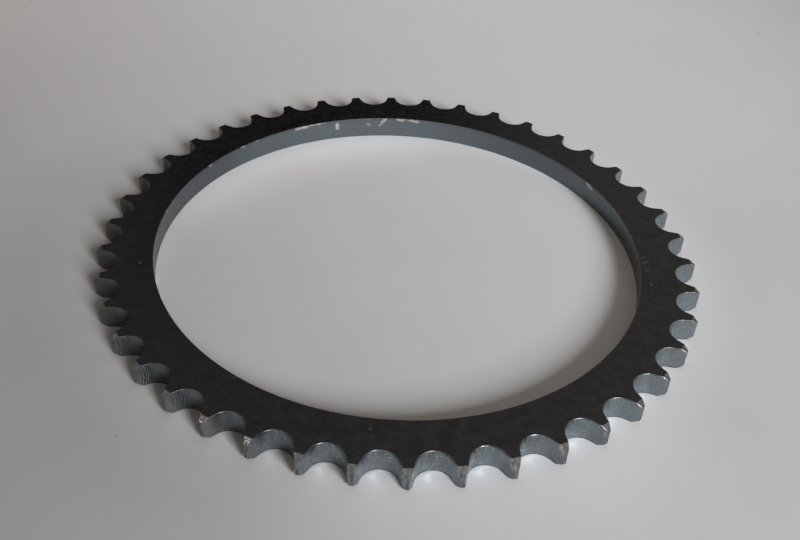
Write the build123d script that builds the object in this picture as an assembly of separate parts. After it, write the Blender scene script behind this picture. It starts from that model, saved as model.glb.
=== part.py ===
from build123d import *
import os
from math import cos, radians, sin

# Roller chain sprocket ring: one flat steel plate with teeth cut through its rim,
# a plain round bore and no hub. Millimetres and degrees.
# The frame's origin is the centre of the bore on the underside, +Z points up out
# of the top face, and one tooth points along +X.

# The chain that runs on it
CHAIN_PITCH = 15.875
ROLLER_DIAMETER = 10.16
TOOTH_COUNT = 42

# The plate. Its rim, from the bore to the bottom of the gaps, leaves a bore of 177.8, seven inches.
PLATE_THICKNESS = 8.7
RIM_WIDTH = 12.236

# A gap between two teeth, seen along the axis
SEAT_RADIUS = 6.0
FLANK_LEAN = 21.0
FLANK_LENGTH = 1.8
TOPPING_RADIUS = 12.0

# The tooth tips
TIP_ABOVE_PITCH_CIRCLE = 3.2
TIP_BEVEL_RUN = 1.95
TIP_BEVEL_DROP = 1.4

# How far the gap cutter reaches past the tooth tips and past both faces
CUTTER_CLEARANCE = 3.0
TOPPING_SWEEP = 35.0

PITCH_ANGLE = 360.0 / TOOTH_COUNT
PITCH_RADIUS = CHAIN_PITCH / 2.0 / sin(radians(PITCH_ANGLE / 2.0))
ROOT_RADIUS = PITCH_RADIUS - ROLLER_DIAMETER / 2.0
TIP_RADIUS = PITCH_RADIUS + TIP_ABOVE_PITCH_CIRCLE
BORE_RADIUS = ROOT_RADIUS - RIM_WIDTH


def ring_section():
    """Half section of the plate, on the XZ plane: flat faces, bevelled tip rim."""
    face_end = TIP_RADIUS - TIP_BEVEL_RUN
    outline = Polyline(
        (BORE_RADIUS, 0.0),
        (face_end, 0.0),
        (TIP_RADIUS, TIP_BEVEL_DROP),
        (TIP_RADIUS, PLATE_THICKNESS - TIP_BEVEL_DROP),
        (face_end, PLATE_THICKNESS),
        (BORE_RADIUS, PLATE_THICKNESS),
        close=True,
    )
    return make_face(Plane.XZ * outline)


def gap_edges(side):
    """Flank and topping arc on one side of a gap that opens along +X, side being 1 or -1."""
    lean = radians(FLANK_LEAN)
    along = Vector(cos(lean), side * sin(lean))
    into_tooth = Vector(-sin(lean), side * cos(lean))
    seat_centre = Vector(ROOT_RADIUS + SEAT_RADIUS, 0.0)
    flank_start = seat_centre + into_tooth * SEAT_RADIUS
    flank_end = flank_start + along * FLANK_LENGTH
    topping_centre = flank_end + into_tooth * TOPPING_RADIUS

    def on_topping_arc(sweep):
        turn = radians(sweep)
        return topping_centre + (along * sin(turn) - into_tooth * cos(turn)) * TOPPING_RADIUS

    flank = Line(flank_start, flank_end)
    topping_end = on_topping_arc(TOPPING_SWEEP)
    topping = ThreePointArc(flank_end, on_topping_arc(TOPPING_SWEEP / 2.0), topping_end)
    return flank_start, flank, topping, topping_end


def gap_cutter():
    """Solid that cuts one gap: round seat, two leaning flanks and two topping arcs."""
    left_start, left_flank, left_topping, left_end = gap_edges(1)
    right_start, right_flank, right_topping, right_end = gap_edges(-1)
    seat = ThreePointArc(left_start, (ROOT_RADIUS, 0.0), right_start)
    outer = max(TIP_RADIUS, left_end.X) + CUTTER_CLEARANCE
    mouth = Polyline(left_end, (outer, left_end.Y), (outer, right_end.Y), right_end)
    profile = make_face([seat, left_flank, left_topping, mouth, right_topping, right_flank])
    cutter = extrude(profile, PLATE_THICKNESS + 2.0 * CUTTER_CLEARANCE, dir=(0, 0, 1))
    return Pos(0.0, 0.0, -CUTTER_CLEARANCE) * cutter


def sprocket_ring():
    """The whole plate. The section starts in a gap, so the ring's seam leaves no line on a tooth."""
    half_pitch = PITCH_ANGLE / 2.0
    blank = Rot(0.0, 0.0, half_pitch) * revolve(ring_section(), Axis.Z, 360.0)
    gaps = PolarLocations(0.0, TOOTH_COUNT, start_angle=half_pitch) * gap_cutter()
    return blank - gaps


os.makedirs("parts", exist_ok=True)
ring = sprocket_ring()
export_step(ring, "parts/sprocket_ring.step")
print("pitch circle", 2.0 * PITCH_RADIUS, "tips", 2.0 * TIP_RADIUS, "bore", 2.0 * BORE_RADIUS)
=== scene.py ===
"""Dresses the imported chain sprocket: a finely divided plate with worn edges, steel and mill scale
materials, the paper it lies on, soft light from the front right, and the camera."""

from math import atan2, cos, hypot, pi, radians, sin

import bpy
from mathutils import Matrix, Vector, noise

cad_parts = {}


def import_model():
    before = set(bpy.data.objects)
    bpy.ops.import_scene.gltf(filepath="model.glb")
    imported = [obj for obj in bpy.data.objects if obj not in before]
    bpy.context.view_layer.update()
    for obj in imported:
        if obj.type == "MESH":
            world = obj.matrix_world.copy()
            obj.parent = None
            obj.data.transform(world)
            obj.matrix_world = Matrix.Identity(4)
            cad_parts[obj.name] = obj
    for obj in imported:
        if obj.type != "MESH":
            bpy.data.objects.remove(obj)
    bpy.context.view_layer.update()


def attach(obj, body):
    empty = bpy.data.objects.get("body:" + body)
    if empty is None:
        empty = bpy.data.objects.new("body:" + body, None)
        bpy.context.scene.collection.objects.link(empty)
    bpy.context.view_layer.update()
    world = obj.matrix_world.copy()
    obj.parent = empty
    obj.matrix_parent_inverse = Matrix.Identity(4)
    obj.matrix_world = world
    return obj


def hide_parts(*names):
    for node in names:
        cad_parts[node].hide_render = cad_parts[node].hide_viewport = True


MM = 0.001  # in metres

# The plate, with the CAD part's own sizes: millimetres, and radians for the flanks' lean
TEETH = 42
PITCH = 15.875
ROLLER = 10.16
THICK = 8.7
BORE = 88.9
SEAT = 6.0
LEAN = radians(21.0)
FLANK = 1.8
TOPPING = 12.0
TIP_RISE = 3.2
BEVEL_RUN = 1.95
BEVEL_DROP = 1.4

STEP_ANGLE = 2 * pi / TEETH
PITCH_R = PITCH / 2 / sin(STEP_ANGLE / 2)
ROOT_R = PITCH_R - ROLLER / 2
TIP_R = PITCH_R + TIP_RISE
FACE_R = TIP_R - BEVEL_RUN

# Widths of the broken edges in millimetres, how far before the tips they narrow, how uneven they are,
# how long a wave is in a gap, and how many waves there are to a radian of the bore
BURR = 0.08
BEVEL_BURR = 0.12
UNDER_EDGE = 0.06
BORE_EDGE = 0.07
BURR_END = 0.8
BURR_UNEVEN = 0.35
BURR_WAVE = 0.9
BORE_UNEVEN = 0.6
BORE_WAVES = 16.0

# How finely the plate is divided: steps along half a gap and across a tooth, and shares of the way
# up a wall and across a face
SEAT_STEPS = 18
FLANK_STEPS = 3
TOPPING_STEPS = 2
BEVEL_ROWS = 6
BEVEL_ACROSS = 6
WALL_ROWS = (0.0, 0.06, 0.2, 0.4, 0.6, 0.8, 0.94, 1.0)
FACE_ROWS = (0.0, 0.34, 0.67, 1.0)
SHARP_ANGLE = radians(20.0)
# How the turn of a topping curve that reaches a radius is found: the widest turn tried, and halvings
WIDEST_TURN = radians(40.0)
HALVINGS = 50

# The camera, fitted to the plate's outlines: degrees, where the part's origin lies from it in
# millimetres, and the lens in pixels of the photograph
CAMERA_PITCH = 38.8332
CAMERA_ROLL = 2.7844
CAMERA_TURN = 2.0576
ORIGIN_TO_RIGHT = 9.1614
ORIGIN_BELOW = -3.8386
ORIGIN_AHEAD = 377.7577
PHOTO_WIDTH = 800.0
FOCAL_PIXELS = 1006.8422
LENS_AXIS_PIXEL = 372.2
SENSOR_WIDTH = 36.0

# The light, worked out from the shadows on the paper: metres, degrees and watts
WINDOW_BEARING = -55.5
WINDOW_HEIGHT = 27.6
WINDOW_AWAY = 5.0
WINDOW_SIZE = (1.40, 1.94)
WINDOW_WATTS = 392.0
WINDOW_TINT = (0.92, 1.0, 1.08)
ROOM_LEVEL = 0.44
ROOM_TINT = (1.04, 1.0, 0.96)
BACKDROP = (0.46, 0.455, 0.45)
# In the room: bearing and height of the middle, and half angles where it is full and where it ends
PALE_WALL = (68.0, 38.0, 8.0, 42.0)
PALE_WALL_LEVEL = 0.165
DARK_CORNER = (95.7, 32.8, 8.0, 13.0)

# Mill scale on the flat faces, and where it is drawn over an edge, which on the gap walls is also
# painted shade under the top edge
SCALE_DARK = (0.0002, 0.0002, 0.0002)
SCALE_PALE = (0.0078, 0.0061, 0.0074)
SCALE_EVEN = (0.0030, 0.0024, 0.0029)
SCALE_SPECK = (0.06, 0.058, 0.06)
SCRATCHED_SCALE = (0.22, 0.21, 0.205)
# also painted shade under the top edge of the gap walls
DRAWN_SCALE_AND_SHADE = (0.03, 0.03, 0.032)

# Cut steel in the gaps and in the bore
CUT_METAL = 0.85
CUT_SPREAD = 0.8
QUARTER_TURN = 0.25  # as Blender counts turns
WALL_ROUGH = 0.27
WALL_LOWER = (0.205, 0.228, 0.243)
WALL_UPPER = (0.208, 0.232, 0.238)
WALL_GREY = (0.215, 0.220, 0.218)
BORE_ROUGH = 0.30
BORE_LOWER = (0.155, 0.180, 0.194)
BORE_UPPER = (0.159, 0.180, 0.188)
BORE_GREY = (0.137, 0.146, 0.153)
BORE_LINE = (0.15, 0.17, 0.18)
BARE_CHIP = (0.60, 0.57, 0.52)
CUT_LINE_PITCH = 0.62
LINE_BLACK = (0.02, 0.02, 0.02)
# painted highlight on the ridges of the coarse cut lines
LINE_RIDGE_HIGHLIGHT = (0.46, 0.48, 0.48)
LINE_THIN = (0.09, 0.10, 0.105)
WORN_DARK = (0.05, 0.05, 0.05)
WORN_PALE = (0.46, 0.46, 0.43)

# Bevels, tooth tips and broken edges
BEVEL_DARK = (0.064, 0.053, 0.044)
BEVEL_PALE = (0.150, 0.130, 0.111)
BEVEL_RING = (0.06, 0.05, 0.045)
BEVEL_FLECK = (0.50, 0.48, 0.42)
LAND_DARK = (0.045, 0.046, 0.046)
LAND_PALE = (0.140, 0.140, 0.136)
LAND_RUBBED = (0.26, 0.25, 0.235)
# painted shade at the foot of the tooth tips
LAND_FOOT_SHADE = (0.03, 0.03, 0.03)
EDGE_DARK = (0.09, 0.09, 0.088)
EDGE_PALE = (0.22, 0.22, 0.21)
EDGE_RUBBED = (0.46, 0.44, 0.38)

# The paper: colours, darker and warmer to the left as painted shade where the window's light falls off,
# half its breadth and its distance below the plate in metres, and its tone
PAPER_LEFT_SHADED = (0.360, 0.328, 0.306)
PAPER_RIGHT = (0.548, 0.52, 0.498)
PAPER_FLECK = (0.15, 0.14, 0.14)
PAPER_REACH = 2.0
PAPER_GAP = 0.00005
PAPER_DARKEST = 0.66
FAR_PAPER = 0.95
FAR_PAPER_LIMIT = 1.3
# A radius that parts the paper seen through the bore from the paper outside
PLATE_MIDDLE = 98.0
# Tone patches, painted light and shade: bearing, inner and outer half angle, radii where the patch ends
# and is full, gain. The first two are painted light from the bore and the near gap walls, the third
# painted shade beside the left teeth, and the last a darker patch at the right
PAINTED_PAPER_PATCHES = (
    (125.0, 15.0, 55.0, 50.0, 86.0, 0.20),
    (-72.0, 12.0, 42.0, 160.0, 112.0, 0.12),
    (-155.0, 25.0, 75.0, 170.0, 125.0, -0.10),
    (-10.0, 15.0, 50.0, 112.0, 135.0, -0.08),
)

# Marks, each from one end to the other, with its half width and strength. A mark is at full strength
# within STROKE_CORE of its half width.
STROKE_CORE = 0.35
# On the top face: bearing and radius of each end
FACE_SCRATCHES = (
    (-0.04, 89.5, 0.83, 91.0, 0.42, 0.14),
    (-1.9, 89.8, -1.0, 91.6, 0.42, 0.16),
    (-4.5, 90.4, -3.9, 91.8, 0.42, 0.14),
    (-9.0, 92.0, -9.5, 92.6, 0.45, 0.3),
    (-165.7, 93.25, -165.7, 93.5, 0.5, 0.35),
    (-92.4, 93.2, -92.4, 93.4, 0.5, 0.25),
)
# On the bore's wall: bearing and height of each end
BORE_CHIPS = (
    (122.0, 8.0, 119.2, 8.0, 0.95, 1.0),
    (119.2, 8.2, 115.0, 8.4, 0.55, 0.8),
    (115.0, 8.5, 100.5, 8.6, 0.4, 0.5),
    (109.95, 6.9, 109.8, 5.0, 1.1, 0.95),
    (101.2, 5.9, 100.6, 5.5, 0.8, 0.6),
    (96.2, 8.1, 97.0, 6.8, 1.05, 1.0),
    (97.0, 6.8, 97.8, 5.0, 0.65, 0.7),
    (92.5, 8.2, 91.4, 7.9, 1.0, 1.0),
    (90.6, 8.3, 89.2, 8.1, 0.6, 0.6),
    (88.6, 8.1, 87.0, 7.7, 0.95, 0.9),
    (32.7, 8.1, 31.2, 7.5, 1.1, 0.6),
    (20.4, 8.2, 19.9, 8.0, 0.6, 0.4),
    (134.8, 8.3, 134.3, 8.2, 0.5, 0.4),
    (139.7, 8.3, 138.7, 8.2, 0.7, 0.7),
    (151.9, 8.4, 151.0, 8.2, 0.6, 0.6),
    (174.4, 8.3, 173.7, 8.1, 0.6, 0.6),
)


# ---------------------------------------------------------------- the plate's mesh


def half_gap():
    """One side of a gap, from its bottom to the tooth tip, in a frame where the gap opens along +X.
    Each entry is (x, y, normal x, normal y, length from the bottom)."""
    along = Vector((cos(LEAN), sin(LEAN)))
    into = Vector((-sin(LEAN), cos(LEAN)))
    centre = Vector((ROOT_R + SEAT, 0.0))
    out = []
    seat_sweep = pi - (pi / 2 + LEAN)
    for i in range(SEAT_STEPS + 1):
        a = pi - seat_sweep * i / SEAT_STEPS
        d = Vector((cos(a), sin(a)))
        p = centre + d * SEAT
        out.append((p.x, p.y, -d.x, -d.y, SEAT * seat_sweep * i / SEAT_STEPS))
    length = SEAT * seat_sweep
    start = centre + into * SEAT
    for i in range(1, FLANK_STEPS + 1):
        p = start + along * (FLANK * i / FLANK_STEPS)
        out.append((p.x, p.y, -into.x, -into.y, length + FLANK * i / FLANK_STEPS))
    length += FLANK
    hub = start + along * FLANK + into * TOPPING

    def arc_point(t):
        d = along * sin(t) - into * cos(t)
        return hub + d * TOPPING, d

    def turn_at(radius):
        low, high = 0.0, WIDEST_TURN
        for _ in range(HALVINGS):
            middle = (low + high) / 2
            if arc_point(middle)[0].length < radius:
                low = middle
            else:
                high = middle
        return low

    t_face, t_tip = turn_at(FACE_R), turn_at(TIP_R)
    turns = [t_face * i / TOPPING_STEPS for i in range(1, TOPPING_STEPS + 1)]
    turns += [t_face + (t_tip - t_face) * i / BEVEL_ROWS for i in range(1, BEVEL_ROWS + 1)]
    for t in turns:
        p, d = arc_point(t)
        out.append((p.x, p.y, d.x, d.y, length + TOPPING * t))
    return out


def top_height(radius):
    """Height of the upper skin: flat inside the bevel, then falling along it."""
    return THICK - max(0.0, radius - FACE_R) * BEVEL_DROP / BEVEL_RUN


def ragged(p, size, seed):
    """A smooth random value from -1 to 1 at a point, the same on each run."""
    return noise.noise(Vector(p) / size + Vector((seed, 0.0, 0.0)))


# The material numbers of the faces
SCALE, CUT, BORE_WALL, BEVEL, LAND, BURRED = range(6)


class Skin:
    """Collects the vertices and faces of one mesh, with a material number for each face and, for each
    vertex, how far along a gap's wall it lies."""

    def __init__(self):
        self.verts, self.faces, self.mats, self.side = [], [], [], []

    def add(self, x, y, z, side=0.0):
        self.verts.append((x * MM, y * MM, z * MM))
        self.side.append(side)
        return len(self.verts) - 1

    def between(self, a, b, t):
        """A new vertex between two others, at a radius between theirs, so that it stays on the cone."""
        va, vb = self.verts[a], self.verts[b]
        ra, rb = hypot(va[0], va[1]), hypot(vb[0], vb[1])
        ta, tb = atan2(va[1], va[0]), atan2(vb[1], vb[0])
        if tb - ta > pi:
            tb -= 2 * pi
        if ta - tb > pi:
            tb += 2 * pi
        r, angle = ra + (rb - ra) * t, ta + (tb - ta) * t
        self.verts.append((r * cos(angle), r * sin(angle), va[2] + (vb[2] - va[2]) * t))
        self.side.append(self.side[a] + (self.side[b] - self.side[a]) * t)
        return len(self.verts) - 1

    def face(self, corners, mat):
        """One face, without corners that repeat. Nothing is added if fewer than three are left."""
        kept = [v for i, v in enumerate(corners) if v != corners[i - 1]]
        if len(kept) > 2:
            self.faces.append(kept)
            self.mats.append(mat)

    def strip(self, a, b, mat):
        """Quads between two rows with as many vertices each."""
        for i in range(len(a) - 1):
            self.face((a[i], b[i], b[i + 1], a[i + 1]), mat)

    def wall(self, a, b, mat):
        """The wall between two columns, with the broken edges above and below it."""
        self.strip(a["wall"], b["wall"], mat)
        self.strip((a["wall"][-1], a["upper"]), (b["wall"][-1], b["upper"]), BURRED)
        self.strip((b["wall"][0], b["lower"]), (a["wall"][0], a["lower"]), BURRED)

    def sheet(self, name, a, b, mat):
        """Quads between two rows of a flat face or a bevel, turned outwards above and below."""
        for i in range(len(a) - 1):
            corners = (a[i], a[i + 1], b[i + 1], b[i])
            self.face(corners if name == "upper" else corners[::-1], mat)


def gap_column(skin, x, y, nx, ny, side, at_tip):
    """One column of a gap's wall: its vertices from the foot up, and one on each face beside it."""
    radius = hypot(x, y)
    top = top_height(radius)
    ramp = min(1.0, max(0.0, (TIP_R - radius) / BURR_END))
    width = BEVEL_BURR if side > 0.0 and radius > FACE_R else BURR
    upper_width = ramp * width * (1.0 + BURR_UNEVEN * ragged((x, y, 0.0), BURR_WAVE, 7.0))
    lower_width = ramp * UNDER_EDGE
    if at_tip:
        upper_width = lower_width = 0.0
    low, high = (THICK - top) + lower_width, top - upper_width
    wall = [skin.add(x, y, low + (high - low) * t, side) for t in WALL_ROWS]
    if at_tip:
        return {"wall": wall, "upper": wall[-1], "lower": wall[0]}
    ux, uy = x - nx * upper_width, y - ny * upper_width
    lx, ly = x - nx * lower_width, y - ny * lower_width
    upper = skin.add(ux, uy, top_height(hypot(ux, uy)), side)
    lower = skin.add(lx, ly, THICK - top_height(hypot(lx, ly)), side)
    return {"wall": wall, "upper": upper, "lower": lower}


def gap_columns(skin):
    """One list of columns for each gap, from its clockwise tip round the bottom to its other tip."""
    half = half_gap()
    tip = len(half) - 1
    gaps = []
    for k in range(TEETH):
        turn = STEP_ANGLE * (k + 0.5)
        c, s = cos(turn), sin(turn)
        columns = []
        for side, order in ((-1, range(tip, 0, -1)), (1, range(tip + 1))):
            for i in order:
                x, y, nx, ny, length = half[i]
                y, ny = y * side, ny * side
                px, py = x * c - y * s, x * s + y * c
                mx, my = nx * c - ny * s, nx * s + ny * c
                columns.append(gap_column(skin, px, py, mx, my, side * length, i == tip))
        gaps.append(columns)
    return gaps


def tooth_top(skin, left, right, rims):
    """The land between two gaps and the bevels above and below it. Adds to the rims of the flat faces:
    along the left gap up to the bevel, then across the tooth."""
    a, b = left[-1], right[0]
    columns = [a["wall"]]
    for j in range(1, BEVEL_ACROSS):
        pairs = zip(a["wall"], b["wall"])
        columns.append([skin.between(va, vb, j / BEVEL_ACROSS) for va, vb in pairs])
    columns.append(b["wall"])
    for before, after in zip(columns, columns[1:]):
        skin.strip(before, after, LAND)
    for name, end in (("upper", -1), ("lower", 0)):
        rows = [[column[end] for column in columns]]
        for r in range(1, BEVEL_ROWS + 1):
            va, vb = left[-1 - r][name], right[r][name]
            inside = [skin.between(va, vb, j / BEVEL_ACROSS) for j in range(1, BEVEL_ACROSS)]
            rows.append([va] + inside + [vb])
        for outer, inner in zip(rows, rows[1:]):
            skin.sheet(name, outer, inner, BEVEL)
        rims[name] += [c[name] for c in left[BEVEL_ROWS: len(left) - BEVEL_ROWS - 1]] + rows[-1][:-1]


def bore_column(skin, angle):
    """One column of the bore's wall, with one vertex on each face beside it."""
    c, s = cos(angle), sin(angle)
    edge = BORE_EDGE * (1.0 + BORE_UNEVEN * ragged((c * BORE_WAVES, s * BORE_WAVES, 0.0), 1.0, 3.0))
    rise = THICK - UNDER_EDGE - edge
    return {
        "wall": [skin.add(BORE * c, BORE * s, UNDER_EDGE + rise * t) for t in WALL_ROWS],
        "upper": skin.add((BORE + edge) * c, (BORE + edge) * s, THICK),
        "lower": skin.add((BORE + UNDER_EDGE) * c, (BORE + UNDER_EDGE) * s, 0.0),
    }


def plate_mesh():
    """The whole plate. Walls, faces, bevels and broken edges are separate strips of quads."""
    skin = Skin()
    gaps = gap_columns(skin)
    for columns in gaps:
        for a, b in zip(columns, columns[1:]):
            skin.wall(a, b, CUT)

    rims = {"upper": [], "lower": []}
    for k in range(TEETH):
        tooth_top(skin, gaps[k], gaps[(k + 1) % TEETH], rims)

    # the bore has a column for each vertex of the rims, and spokes join the two
    count = len(rims["upper"])
    outline = [skin.verts[v] for v in rims["upper"]]
    bore = [bore_column(skin, atan2(y, x)) for x, y, _ in outline]
    spokes = {"upper": [], "lower": []}
    for name in spokes:
        for column, outer in zip(bore, rims[name]):
            inner = column[name]
            inside = [skin.between(inner, outer, t) for t in FACE_ROWS[1:-1]]
            spokes[name].append([inner] + inside + [outer])
    for i in range(count):
        j = (i + 1) % count
        skin.wall(bore[j], bore[i], BORE_WALL)
        for name in spokes:
            skin.sheet(name, spokes[name][i], spokes[name][j], SCALE)

    mesh = bpy.data.meshes.new("sprocket_plate")
    mesh.from_pydata(skin.verts, [], skin.faces)
    mesh.polygons.foreach_set("material_index", skin.mats)
    mesh.attributes.new("gap_side", "FLOAT", "POINT").data.foreach_set("value", skin.side)
    mesh.polygons.foreach_set("use_smooth", [True] * len(skin.faces))
    mesh.set_sharp_from_angle(angle=SHARP_ANGLE)
    mesh.validate()
    mesh.update()
    return mesh


# ---------------------------------------------------------------- materials


class Nodes:
    """Short calls for building a node tree."""

    def __init__(self, tree):
        self.tree = tree
        self.tree.nodes.clear()

    def new(self, kind, **values):
        node = self.tree.nodes.new(kind)
        for name, value in values.items():
            setattr(node, name, value)
        return node

    def link(self, source, target):
        self.tree.links.new(source, target)

    def put(self, socket, value):
        """Links another node's output to a socket, or sets a plain value on it."""
        if hasattr(value, "is_output"):
            self.link(value, socket)
        else:
            socket.default_value = value

    def math(self, operation, *values, clamp=False):
        node = self.new("ShaderNodeMath", operation=operation, use_clamp=clamp)
        for socket, value in zip(node.inputs, values):
            self.put(socket, value)
        return node.outputs[0]

    def times(self, product, *others):
        for value in others:
            product = self.math("MULTIPLY", product, value)
        return product

    def plus(self, total, *others):
        for value in others:
            total = self.math("ADD", total, value)
        return total

    def less(self, value, *others):
        for other in others:
            value = self.math("SUBTRACT", value, other)
        return value

    def vector(self, operation, a, b=None, scale=None):
        node = self.new("ShaderNodeVectorMath", operation=operation)
        self.put(node.inputs[0], a)
        if b is not None:
            self.put(node.inputs[1], b)
        if scale is not None:
            self.put(node.inputs["Scale"], scale)
        plain = operation in ("LENGTH", "DISTANCE", "DOT_PRODUCT")
        return node.outputs["Value" if plain else "Vector"]

    def position(self):
        """The place on the part in millimetres."""
        coords = self.new("ShaderNodeTexCoord").outputs["Object"]
        return self.vector("MULTIPLY", coords, (1.0 / MM,) * 3)

    def upright(self, place, share=0.05):
        """A place with its height shrunk, so that noise on it makes upright streaks."""
        return self.vector("MULTIPLY", place, (1.0, 1.0, share))

    def along_wall(self):
        """Millimetres along a gap's wall from its bottom, below 0 on the clockwise side."""
        return self.new("ShaderNodeAttribute", attribute_name="gap_side").outputs["Fac"]

    def split(self, vector):
        node = self.new("ShaderNodeSeparateXYZ")
        self.link(vector, node.inputs[0])
        return node.outputs

    def join(self, x, y, z):
        node = self.new("ShaderNodeCombineXYZ")
        for socket, value in zip(node.inputs, (x, y, z)):
            self.put(socket, value)
        return node.outputs[0]

    def radius(self, x, y):
        return self.math("SQRT", self.plus(self.times(x, x), self.times(y, y)))

    def noise_node(self, place, scale, detail, rough):
        node = self.new("ShaderNodeTexNoise")
        self.link(place, node.inputs["Vector"])
        for name, value in (("Scale", scale), ("Detail", detail), ("Roughness", rough)):
            node.inputs[name].default_value = value
        return node

    def noise(self, place, scale, detail=3.0, rough=0.55):
        return self.noise_node(place, scale, detail, rough).outputs["Fac"]

    def wander(self, place, scale, reach):
        """A place moved by a slow random offset, which makes marks laid on it uneven."""
        offset = self.noise_node(place, scale, 3.0, 0.5).outputs["Color"]
        offset = self.vector("SUBTRACT", offset, (0.5, 0.5, 0.5))
        return self.vector("ADD", place, self.vector("SCALE", offset, scale=reach))

    def cells(self, place, scale):
        """Scattered points: the distance from the nearest one, and a random colour for each."""
        node = self.new("ShaderNodeTexVoronoi")
        self.link(place, node.inputs["Vector"])
        node.inputs["Scale"].default_value = scale
        return node.outputs["Distance"], node.outputs["Color"]

    def stroke(self, place, start, end, half_width):
        """1 on the line from start to end, falling to 0 at half_width from it."""
        start, run = Vector(start), Vector(end) - Vector(start)
        offset = self.vector("SUBTRACT", place, tuple(start))
        reached = self.vector("DOT_PRODUCT", offset, tuple(run))
        share = self.math("DIVIDE", reached, run.length_squared, clamp=True)
        offset = self.vector("SUBTRACT", offset, self.vector("SCALE", tuple(run), scale=share))
        return self.span(self.vector("LENGTH", offset), half_width, half_width * STROKE_CORE)

    def span(self, value, low, high, to_low=0.0, to_high=1.0):
        """Value from low to high, eased onto to_low..to_high and held there."""
        node = self.new("ShaderNodeMapRange", interpolation_type="SMOOTHSTEP")
        for socket, number in zip(node.inputs[:5], (value, low, high, to_low, to_high)):
            self.put(socket, number)
        return node.outputs[0]

    def mix(self, share, a, b, blend="MIX"):
        """Colour a where the share is 0, and b where it is 1."""
        node = self.new("ShaderNodeMix", data_type="RGBA", blend_type=blend)
        self.put(node.inputs[0], share)
        for socket, colour in ((node.inputs[6], a), (node.inputs[7], b)):
            self.put(socket, (*colour, 1.0) if isinstance(colour, tuple) else colour)
        return node.outputs[2]

    def mix_value(self, share, a, b):
        """Value a where the share is 0, and b where it is 1."""
        node = self.new("ShaderNodeMix", data_type="FLOAT")
        for socket, value in zip((node.inputs[0], node.inputs[2], node.inputs[3]), (share, a, b)):
            self.put(socket, value)
        return node.outputs[0]

    def shaded(self, colour, tone):
        """A colour times a plain value."""
        return self.mix(1.0, colour, self.join(tone, tone, tone), "MULTIPLY")

    def bump(self, height, depth, strength):
        """A surface roughened by height, with its depth in millimetres."""
        node = self.new("ShaderNodeBump")
        node.inputs["Strength"].default_value = strength
        node.inputs["Distance"].default_value = depth * MM
        self.link(height, node.inputs["Height"])
        return node.outputs[0]

    def surface(self, colour, rough, metal, normal, specular=0.5, spread=0.0):
        """Spread is how much further the gloss reaches sideways than up and down."""
        shader = self.new("ShaderNodeBsdfPrincipled")
        if spread:
            shader.inputs["Anisotropic"].default_value = spread
            shader.inputs["Anisotropic Rotation"].default_value = QUARTER_TURN
            self.link(self.join(0.0, 0.0, 1.0), shader.inputs["Tangent"])
        self.put(shader.inputs["Base Color"], colour)
        self.put(shader.inputs["Roughness"], rough)
        shader.inputs["Metallic"].default_value = metal
        shader.inputs["Specular IOR Level"].default_value = specular
        self.link(normal, shader.inputs["Normal"])
        self.link(shader.outputs[0], self.new("ShaderNodeOutputMaterial").inputs["Surface"])


def material(name):
    mat = bpy.data.materials.new(name)
    mat.use_nodes = True
    return mat, Nodes(mat.node_tree)


def on_plate(bearing, radius, height):
    """A place on the part in millimetres, from its bearing in degrees, its radius and its height."""
    return radius * cos(radians(bearing)), radius * sin(radians(bearing)), height


def on_face(bearing, radius):
    return on_plate(bearing, radius, THICK)


def on_bore(bearing, height):
    return on_plate(bearing, BORE, height)


def marks(n, place, table, on_surface):
    """For each mark in a table, how strongly it shows at a place. The ends' bearings go to on_surface
    with their radii or their heights."""
    for bearing_a, second_a, bearing_b, second_b, half_width, strength in table:
        start, end = on_surface(bearing_a, second_a), on_surface(bearing_b, second_b)
        yield n.times(n.stroke(place, start, end, half_width), strength)


def scale_material():
    """Black mill scale on the flat faces: fine mottling, calmer to the left and at the far side, small
    grey specks and a few light scratches."""
    mat, n = material("mill_scale")
    place = n.position()
    x, y = n.split(place)[:2]
    mottle = n.noise(place, 0.24, 6.0, 0.75)
    colour = n.mix(n.span(mottle, 0.38, 0.66), SCALE_DARK, SCALE_PALE)
    calm_left, calm_behind = n.span(x, -20.0, -65.0, 0.0, 0.5), n.span(y, 10.0, 60.0, 0.0, 0.45)
    colour = n.mix(n.math("MAXIMUM", calm_left, calm_behind), colour, SCALE_EVEN)
    distance, random = n.cells(place, 0.42)
    strength = n.span(n.split(random)[0], 0.55, 1.0, 0.0, 0.22)
    colour = n.mix(n.times(n.span(distance, 0.24, 0.05), strength), colour, SCALE_SPECK)
    for scratch in marks(n, n.wander(place, 1.5, 0.35), FACE_SCRATCHES, on_face):
        colour = n.mix(scratch, colour, SCRATCHED_SCALE)
    rough = n.span(n.noise(place, 0.5, 4.0), 0.3, 0.7, 0.22, 0.32)
    n.surface(colour, rough, 0.0, n.bump(mottle, 0.03, 0.4))
    return mat


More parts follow.
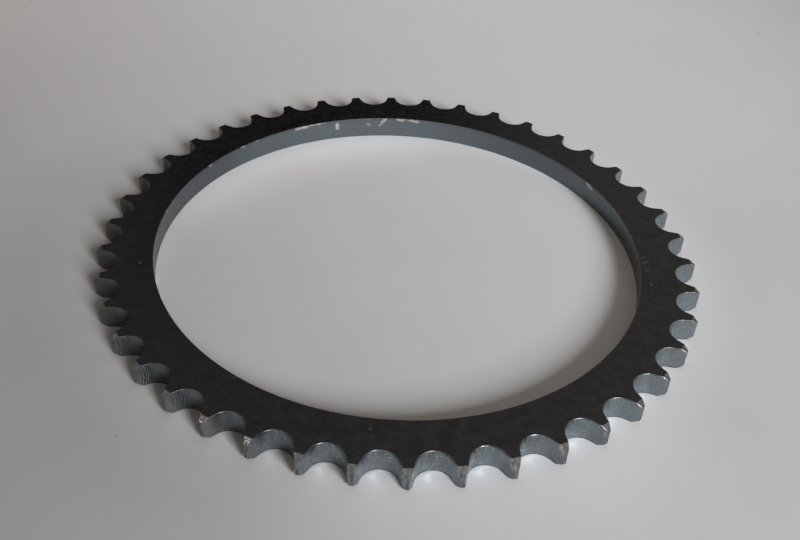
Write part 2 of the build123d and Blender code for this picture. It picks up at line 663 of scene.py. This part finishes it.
def cut_tone(n, x, y, z, along, cloud):
    """How light the gap walls are: cloudy, dimmer towards -X, with an oblique darker patch on the
    clockwise flanks at the front left, painted shade on the foot of the other flanks, and painted fill
    light in the shaded part of the gaps at the far left."""
    tone = n.times(
        n.span(x, 80.0, 60.0, 1.06, 0.965),
        n.span(x, 0.0, -35.0, 1.0, 0.88),
        n.span(cloud, 0.3, 0.7, 0.95, 1.06),
        n.span(y, 30.0, 55.0, 1.0, n.span(x, -40.0, -60.0, 1.0, 0.7)))
    # an oblique darker patch on the clockwise flanks at the front left
    oblique_darkening = n.times(
        n.span(x, -28.0, -48.0),
        n.span(x, -84.0, -70.0),
        n.span(along, -8.5, -6.8, 0.0, 0.29),
        n.span(n.math("MULTIPLY_ADD", z, -0.9, along), -2.0, -6.0))
    # painted shade: darkens the lower anticlockwise flanks, where the next tooth shades them
    foot = n.times(
        n.span(along, 5.0, 9.0),
        n.span(z, 8.0, 3.5),
        n.span(x, 80.0, 60.0, 0.04, 0.13))
    # painted fill light: lifts the shaded part of the gaps at the far left
    painted_fill = n.times(
        n.span(n.math("MULTIPLY_ADD", x, -0.125, along), 2.0, 7.0, 0.0, 0.3),
        n.span(x, -20.0, -45.0))
    dull = n.times(n.span(x, -50.0, -95.0), n.span(z, 0.5, 6.0, 0.2, 0.5))
    return n.times(tone, n.plus(n.less(1.0, oblique_darkening, foot), painted_fill), n.less(1.0, dull))


def cut_lines(n, colour, place, x, z, along):
    """Draws the upright cut lines, and returns the colour and their relief. A line bends back towards
    the foot. The coarse ones lie further round the clockwise side from gap to gap towards -X, following
    where the light catches them: real lines darkened as painted shade, with painted highlights on their
    ridges at the far left."""
    depth = n.less(n.span(along, -2.0, 3.0, 0.5, 1.0), n.math("DIVIDE", z, THICK))
    bow = n.times(depth, depth, n.span(along, -2.0, 3.0, 2.0, 3.6))
    drift = n.times(n.noise(n.upright(place), 0.55, 2.0), 1.6)
    phase = n.plus(along, bow, drift)
    wave = n.math("SINE", n.times(phase, 2 * pi / CUT_LINE_PITCH))
    band = n.math("ABSOLUTE", n.plus(n.math("MULTIPLY_ADD", x, -0.077, 2.4), along))
    coarse = n.times(
        n.span(band, 3.6, 1.4),
        n.span(n.noise(place, 0.22, 2.0), 0.40, 0.58, 0.15, 1.0),
        n.span(x, -52.0, -68.0, 0.85, 1.0),
        n.span(z, 2.5, 6.0, n.span(x, -30.0, -60.0, 0.15, 1.0), 1.0),
        n.span(x, -97.0, -86.0, 0.1, 1.0),
        n.span(x, 25.0, -15.0, 0.4, 1.0))
    dark = n.times(n.span(wave, n.span(x, -45.0, -68.0, 0.3, -0.2), 1.0), coarse, 0.9)
    colour = n.mix(dark, colour, LINE_BLACK)
    # painted highlight on the ridges of the coarse lines at the far left
    ridge_highlight = n.times(n.span(wave, -0.3, -1.0), coarse, n.span(x, -56.0, -68.0, 0.0, 0.5))
    colour = n.mix(ridge_highlight, colour, LINE_RIDGE_HIGHLIGHT)
    fine = n.noise(n.join(n.times(phase, 1.9), n.times(z, 0.08), n.times(x, 0.1)), 1.0, 2.0, 0.6)
    thin = n.times(
        n.span(fine, 0.58, 0.36),
        n.span(z, 1.5, 6.5, 0.15, n.span(x, 75.0, 50.0, 0.4, 0.58)),
        n.span(along, 6.0, 0.0, 0.35, 1.0))
    colour = n.mix(thin, colour, LINE_THIN)
    return colour, n.times(wave, coarse, n.span(x, -10.0, -50.0, 0.0, 0.2))


def top_scale_and_painted_shade(n, colour, place, x, z, along, cloud):
    """Draws black scale down from the top edge, furthest on the two flanks and in short drips on the
    right, and darkens the foot. On the clockwise flank its reach follows the way the wall faces, which
    is painted shade under the top edge, and the dark foot is painted contact shade."""
    ahead = n.plus(along, n.span(x, -4.0, -20.0, 0.0, 2.6))
    onward = n.times(n.span(ahead, 1.5, 6.0, 0.1, 3.6), n.span(x, 55.0, 0.0, 0.15, 1.0))
    turned = n.less(along, n.span(x, 10.0, 90.0, 0.0, 4.5))
    # painted shade: the reach on the clockwise flank shifts with the way the wall faces
    clockwise = n.times(
        n.span(turned, -3.4, -6.2, 0.0, 3.8),
        n.span(x, -45.0, -25.0),
        n.span(turned, -7.0, -9.0, 1.0, 0.45))
    reach = n.times(n.plus(onward, clockwise), n.span(cloud, 0.3, 0.7, 0.75, 1.25))
    below_top = n.math("DIVIDE", n.less(THICK, z), n.plus(reach, 0.05))
    colour = n.mix(n.span(below_top, 1.0, 0.0, 0.0, 0.85), colour, DRAWN_SCALE_AND_SHADE)
    drips = n.times(
        n.span(n.noise(n.upright(place), 1.5, 2.0), 0.54, 0.42),
        n.span(z, 6.0, 8.0),
        n.span(turned, -0.5, -3.5),
        n.span(x, 5.0, 25.0, 0.0, 0.85),
        n.span(x, 72.0, 55.0))
    colour = n.mix(drips, colour, LINE_BLACK)
    # painted contact shade along the foot of the wall
    return n.mix(n.span(z, 0.5, 0.05, 0.0, 0.85), colour, LINE_BLACK)


def worn_tips(n, colour, place, x, z, along):
    """Adds a few pale and dark worn spots below the bevel, on the side away from the cut lines."""
    worn = n.times(n.span(along, 9.0, 10.2), n.span(z, 3.5, 6.5), n.span(x, 76.0, 64.0))
    spots = n.noise(place, 0.55)
    colour = n.mix(n.times(worn, n.span(spots, 0.46, 0.38, 0.0, 0.6)), colour, WORN_DARK)
    pale = n.times(worn, n.span(spots, 0.50, 0.56), n.span(x, -10.0, 30.0, 0.25, 0.75))
    return n.mix(pale, colour, WORN_PALE)


def cut_material():
    """Blue-grey cut steel on the gap walls, greyer towards -X, with its lines, scale and worn spots, and
    painted shade and highlights worked in among them.
    """
    mat, n = material("cut_steel")
    place = n.position()
    x, y, z = n.split(place)[:3]
    along = n.along_wall()
    cloud = n.noise(place, 0.35)
    colour = n.mix(n.span(z, 2.0, 6.5), WALL_LOWER, WALL_UPPER)
    colour = n.mix(n.span(x, -15.0, -55.0), colour, WALL_GREY)
    colour = n.shaded(colour, cut_tone(n, x, y, z, along, cloud))
    colour, relief = cut_lines(n, colour, place, x, z, along)
    colour = top_scale_and_painted_shade(n, colour, place, x, z, along, cloud)
    colour = worn_tips(n, colour, place, x, z, along)
    rough = n.span(n.noise(place, 0.6), 0.3, 0.7, WALL_ROUGH - 0.01, WALL_ROUGH + 0.02)
    n.surface(colour, rough, CUT_METAL, n.bump(relief, 0.06, 0.5), spread=CUT_SPREAD)
    return mat


def bore_material():
    """Blue-grey bore wall with faint upright cut lines, scale drawn over its top edge, and chips down
    to bare steel."""
    mat, n = material("bore_steel")
    place = n.position()
    x, _, z = n.split(place)[:3]
    lines = n.noise(n.upright(place), 1.2, 2.5, 0.6)
    colour = n.mix(n.span(z, 2.0, 6.0), BORE_LOWER, BORE_UPPER)
    colour = n.mix(n.span(x, -62.0, -78.0), colour, BORE_GREY)
    tone = n.times(
        n.span(x, 22.0, 48.0, 1.0, 0.87),
        n.span(x, 62.0, 75.0, 1.0, 1.08),
        n.span(x, 5.0, -22.0, 1.0, 0.88),
        n.span(x, -58.0, -80.0, 1.0, 0.92))
    colour = n.shaded(colour, tone)
    colour = n.mix(n.span(lines, 0.55, 0.35, 0.0, 0.22), colour, BORE_LINE)
    drawn = n.times(
        n.span(z, 7.7, 8.6),
        n.span(n.noise(place, 0.5), 0.35, 0.65, 0.3, 0.8),
        n.span(n.math("ABSOLUTE", n.plus(x, 2.0)), 22.0, 45.0, 0.3, 1.0))
    colour = n.mix(drawn, colour, DRAWN_SCALE_AND_SHADE)
    broken = n.span(n.noise(place, 1.5, 2.0), 0.30, 0.50)
    for chip in marks(n, n.wander(place, 1.3, 1.4), BORE_CHIPS, on_bore):
        colour = n.mix(n.times(chip, broken), colour, BARE_CHIP)
    rough = n.span(n.noise(place, 0.6), 0.3, 0.7, BORE_ROUGH - 0.03, BORE_ROUGH + 0.04)
    n.surface(colour, rough, CUT_METAL, n.bump(lines, 0.03, 0.4), spread=CUT_SPREAD)
    return mat


def bevel_material():
    """Bare brown-grey metal with fine turned rings, flecked at the front left, and darkened everywhere
    but at the far left as painted shade against the window's gloss, so it is lighter at the far left."""
    mat, n = material("turned_bevel")
    place = n.position()
    x, y = n.split(place)[:2]
    swept = n.times(n.math("ARCTAN2", y, x), 6.0)
    rings = n.noise(n.join(n.times(n.radius(x, y), 5.0), swept, 0.0), 1.0, 2.0)
    cloud = n.noise(place, 0.8, 4.0, 0.65)
    colour = n.mix(n.span(cloud, 0.35, 0.7), BEVEL_DARK, BEVEL_PALE)
    colour = n.mix(n.span(rings, 0.55, 0.3, 0.0, 0.4), colour, BEVEL_RING)
    # painted shade: darker wherever the window's gloss falls on the bevels, lighter at the far left
    colour = n.shaded(colour, n.span(x, -85.0, -65.0, 1.08, 0.77))
    flecks = n.times(
        n.span(n.noise(place, 1.5, 3.0, 0.6), 0.50, 0.60),
        n.span(x, -20.0, -38.0),
        n.span(x, -70.0, -58.0, 0.0, 0.8))
    colour = n.mix(flecks, colour, BEVEL_FLECK)
    n.surface(colour, 0.62, 0.12, n.bump(n.plus(rings, cloud), 0.1, 0.7), 0.35)
    return mat


def land_material():
    """The narrow tooth tips: rough dark steel, rubbed pale down its two edges, with painted shade at its
    foot.
    """
    mat, n = material("tip_land")
    place = n.position()
    z = n.split(place)[2]
    lines = n.noise(n.upright(place, 0.12), 2.0, 3.0, 0.65)
    colour = n.mix(n.span(lines, 0.42, 0.60), LAND_DARK, LAND_PALE)
    rubbed = n.times(
        n.span(n.math("ABSOLUTE", n.along_wall()), 6.0, 11.0),
        n.span(lines, 0.46, 0.60),
        n.span(z, 2.0, 6.5, 0.3, 0.9))
    colour = n.mix(rubbed, colour, LAND_RUBBED)
    # painted shade along the foot of the tip
    colour = n.mix(n.span(z, 2.2, 1.4, 0.0, 0.7), colour, LAND_FOOT_SHADE)
    n.surface(colour, n.span(lines, 0.3, 0.7, 0.6, 0.45), 0.4, n.bump(lines, 0.15, 0.8))
    return mat


def edge_material():
    """Broken edge between a cut wall and a black face: grey steel, rubbed paler on the bevels, with a
    tone by place that is painted highlight and shade.
    """
    mat, n = material("bright_edge")
    place = n.position()
    x = n.split(place)[0]
    along = n.along_wall()
    patch = n.noise(place, 0.8, 3.0, 0.7)
    colour = n.mix(n.span(patch, 0.35, 0.65), EDGE_DARK, EDGE_PALE)
    rubbed = n.times(n.span(along, 8.6, 9.2), n.span(n.noise(place, 1.3, 2.0), 0.42, 0.56))
    colour = n.mix(rubbed, colour, EDGE_RUBBED)
    # painted highlight and shade: dimmer to the left, brighter to the right, dimmer on the clockwise
    # edges near the tips except at the left, where they are brighter
    tone = n.times(
        n.span(x, 0.0, -80.0, 1.0, 0.4),
        n.span(along, -8.0, -9.2, 1.0, n.span(x, -38.0, -48.0, 0.45, 1.5)),
        n.span(x, 45.0, 75.0, 1.0, 1.35))
    colour = n.shaded(colour, tone)
    rough = n.span(n.math("ABSOLUTE", along), 7.5, 9.0, 0.32, 0.6)
    n.surface(colour, rough, 0.7, n.bump(n.noise(place, 3.0, 2.0), 0.03, 0.4))
    return mat


def near_tone(n, place, x, y, radius):
    """The paper's tone round the plate, mostly painted light and shade: it changes slowly with depth and
    breadth for the window's fall-off, has painted light beside the walls that shine onto it, painted
    shade to the left and a darker patch to the right."""
    # painted light: a slow change with depth and breadth that stands in for the window's fall-off
    wide = n.times(n.math("MAXIMUM", n.math("MINIMUM", x, 230.0), -230.0), 0.01)
    deep = n.times(n.math("MAXIMUM", n.math("MINIMUM", y, 260.0), -150.0), 0.01)
    tone = n.plus(
        n.times(deep, n.math("MULTIPLY_ADD", wide, -0.062, 0.100)),
        n.times(wide, n.math("MULTIPLY_ADD", wide, -0.040, 0.046)),
        n.span(n.noise(place, 0.02), 0.3, 0.7, 1.045, 1.07))
    # painted light and shade patches: glows from the walls, shade beside the teeth
    for bearing, inner, outer, edge, middle, gain in PAINTED_PAPER_PATCHES:
        facing = n.vector("DOT_PRODUCT", place, on_plate(bearing, 1.0, 0.0))
        facing = n.math("DIVIDE", facing, radius)
        sector = n.span(facing, cos(radians(outer)), cos(radians(inner)))
        side = "LESS_THAN" if middle < PLATE_MIDDLE else "GREATER_THAN"
        ring = n.times(n.math(side, radius, PLATE_MIDDLE), n.span(radius, edge, middle))
        tone = n.plus(tone, n.times(sector, ring, gain))
    return n.math("MAXIMUM", tone, PAPER_DARKEST)


def far_tone(n, place):
    """A tone that makes up for the lamp's fall with distance, so that distant paper is an even grey."""
    away = n.vector("DISTANCE", place, tuple(window_place() / MM))
    even = n.math("POWER", n.math("DIVIDE", away, WINDOW_AWAY / MM), 3.0)
    return n.times(n.math("MINIMUM", even, FAR_PAPER_LIMIT), FAR_PAPER)


def paper_material():
    """Matt grey-white paper, warmer and darker to the left, which is painted shade, with sparse dark
    flecks. Beyond the camera's view it blends to an even grey."""
    mat, n = material("paper")
    place = n.position()
    x, y = n.split(place)[:2]
    radius = n.radius(x, y)
    beyond = n.math("MAXIMUM", n.span(radius, 380.0, 640.0), n.span(y, -138.0, -240.0))
    beyond = n.math("MAXIMUM", beyond, n.span(x, -222.0, -340.0))
    across = n.mix_value(beyond, n.span(x, -260.0, 260.0), 0.6)
    # painted shade: darker and warmer to the left
    colour = n.mix(across, PAPER_LEFT_SHADED, PAPER_RIGHT)
    tone = n.mix_value(beyond, near_tone(n, place, x, y, radius), far_tone(n, place))
    colour = n.shaded(colour, tone)
    distance, random = n.cells(place, 0.045)
    keep = n.math("GREATER_THAN", n.split(random)[1], 0.6)
    colour = n.mix(n.times(n.span(distance, 0.045, 0.02), keep, 0.45), colour, PAPER_FLECK)
    n.surface(colour, 0.6, 0.0, n.bump(n.noise(place, 0.9, 4.0), 0.03, 0.4), 0.25)
    return mat


# ---------------------------------------------------------------- scene


def camera():
    """The photograph's camera, in the part's frame."""
    pitch, roll, turn = radians(CAMERA_PITCH), radians(CAMERA_ROLL), radians(CAMERA_TURN)
    ahead = Vector((0.0, cos(pitch), -sin(pitch)))
    right = Vector((1.0, 0.0, 0.0))
    down = ahead.cross(right)
    right, down = right * cos(roll) - down * sin(roll), right * sin(roll) + down * cos(roll)
    axes = Matrix((right, -down, -ahead)).transposed()
    swing = Matrix.Rotation(turn, 3, "Z")
    origin = right * ORIGIN_TO_RIGHT + down * ORIGIN_BELOW + ahead * ORIGIN_AHEAD
    data = bpy.data.cameras.new("camera")
    data.sensor_width = SENSOR_WIDTH
    data.lens = FOCAL_PIXELS * SENSOR_WIDTH / PHOTO_WIDTH
    data.shift_x = (PHOTO_WIDTH / 2 - LENS_AXIS_PIXEL) / PHOTO_WIDTH
    data.clip_start, data.clip_end = 0.01, 20.0
    cam = bpy.data.objects.new("camera", data)
    cam.matrix_world = Matrix.Translation(swing @ -origin * MM) @ (swing @ axes).to_4x4()
    bpy.context.scene.collection.objects.link(cam)
    bpy.context.scene.camera = cam


def direction(bearing, height):
    """A unit vector from its bearing and its height above the paper, both in degrees."""
    turn, rise = radians(bearing), radians(height)
    return Vector((cos(turn) * cos(rise), sin(turn) * cos(rise), sin(rise)))


def window_place():
    return direction(WINDOW_BEARING, WINDOW_HEIGHT) * WINDOW_AWAY


def window():
    """The one strong light: a tall soft window, low at the front right."""
    data = bpy.data.lights.new("window", "AREA")
    data.shape = "RECTANGLE"
    data.size, data.size_y = WINDOW_SIZE
    data.energy = WINDOW_WATTS
    data.color = WINDOW_TINT
    lamp = bpy.data.objects.new("window", data)
    lamp.location = window_place()
    lamp.rotation_euler = (-lamp.location).to_track_quat("-Z", "Y").to_euler()
    bpy.context.scene.collection.objects.link(lamp)


def world():
    """A warm, dim room, brightest overhead, with a pale wall behind on the right and a dark corner
    straight behind, which the black face mirrors. The camera sees the paper's own grey."""
    room = bpy.data.worlds.new("room")
    room.use_nodes = True
    n = Nodes(room.node_tree)
    towards = n.new("ShaderNodeTexCoord").outputs["Generated"]

    def patch(bearing, height, inner, outer):
        facing = n.vector("DOT_PRODUCT", towards, tuple(direction(bearing, height)))
        return n.span(facing, cos(radians(outer)), cos(radians(inner)))

    height = n.math("MAXIMUM", n.split(towards)[2], 0.0)
    level = n.times(height, height, ROOM_LEVEL)
    level = n.plus(level, n.times(patch(*PALE_WALL), PALE_WALL_LEVEL))
    level = n.times(level, n.less(1.0, patch(*DARK_CORNER)))
    overhead = n.new("ShaderNodeBackground")
    overhead.inputs["Color"].default_value = (*ROOM_TINT, 1.0)
    n.link(level, overhead.inputs["Strength"])
    backdrop = n.new("ShaderNodeBackground")
    backdrop.inputs["Color"].default_value = (*BACKDROP, 1.0)
    seen = n.new("ShaderNodeMixShader")
    n.link(n.new("ShaderNodeLightPath").outputs["Is Camera Ray"], seen.inputs[0])
    n.link(overhead.outputs[0], seen.inputs[1])
    n.link(backdrop.outputs[0], seen.inputs[2])
    n.link(seen.outputs[0], n.new("ShaderNodeOutputWorld").inputs["Surface"])
    bpy.context.scene.world = room


def floor():
    """The sheet of paper that the plate lies on, a hair below it."""
    corners = [(x * PAPER_REACH, y * PAPER_REACH, 0.0) for x, y in ((-1, -1), (1, -1), (1, 1), (-1, 1))]
    mesh = bpy.data.meshes.new("paper")
    mesh.from_pydata(corners, [], [(0, 1, 2, 3)])
    mesh.materials.append(paper_material())
    paper = bpy.data.objects.new("paper", mesh)
    bpy.context.scene.collection.objects.link(paper)
    paper.location.z = -PAPER_GAP


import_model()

plate = bpy.data.objects.new("sprocket_plate", plate_mesh())
bpy.context.scene.collection.objects.link(plate)
# In the order of the faces' material numbers
for make in (scale_material, cut_material, bore_material, bevel_material, land_material, edge_material):
    plate.data.materials.append(make())
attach(plate, "root")
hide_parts("sprocket_ring")

floor()
window()
world()
bpy.context.scene.view_settings.view_transform = "Standard"
bpy.context.scene.cycles.blur_glossy = 0.0
camera()
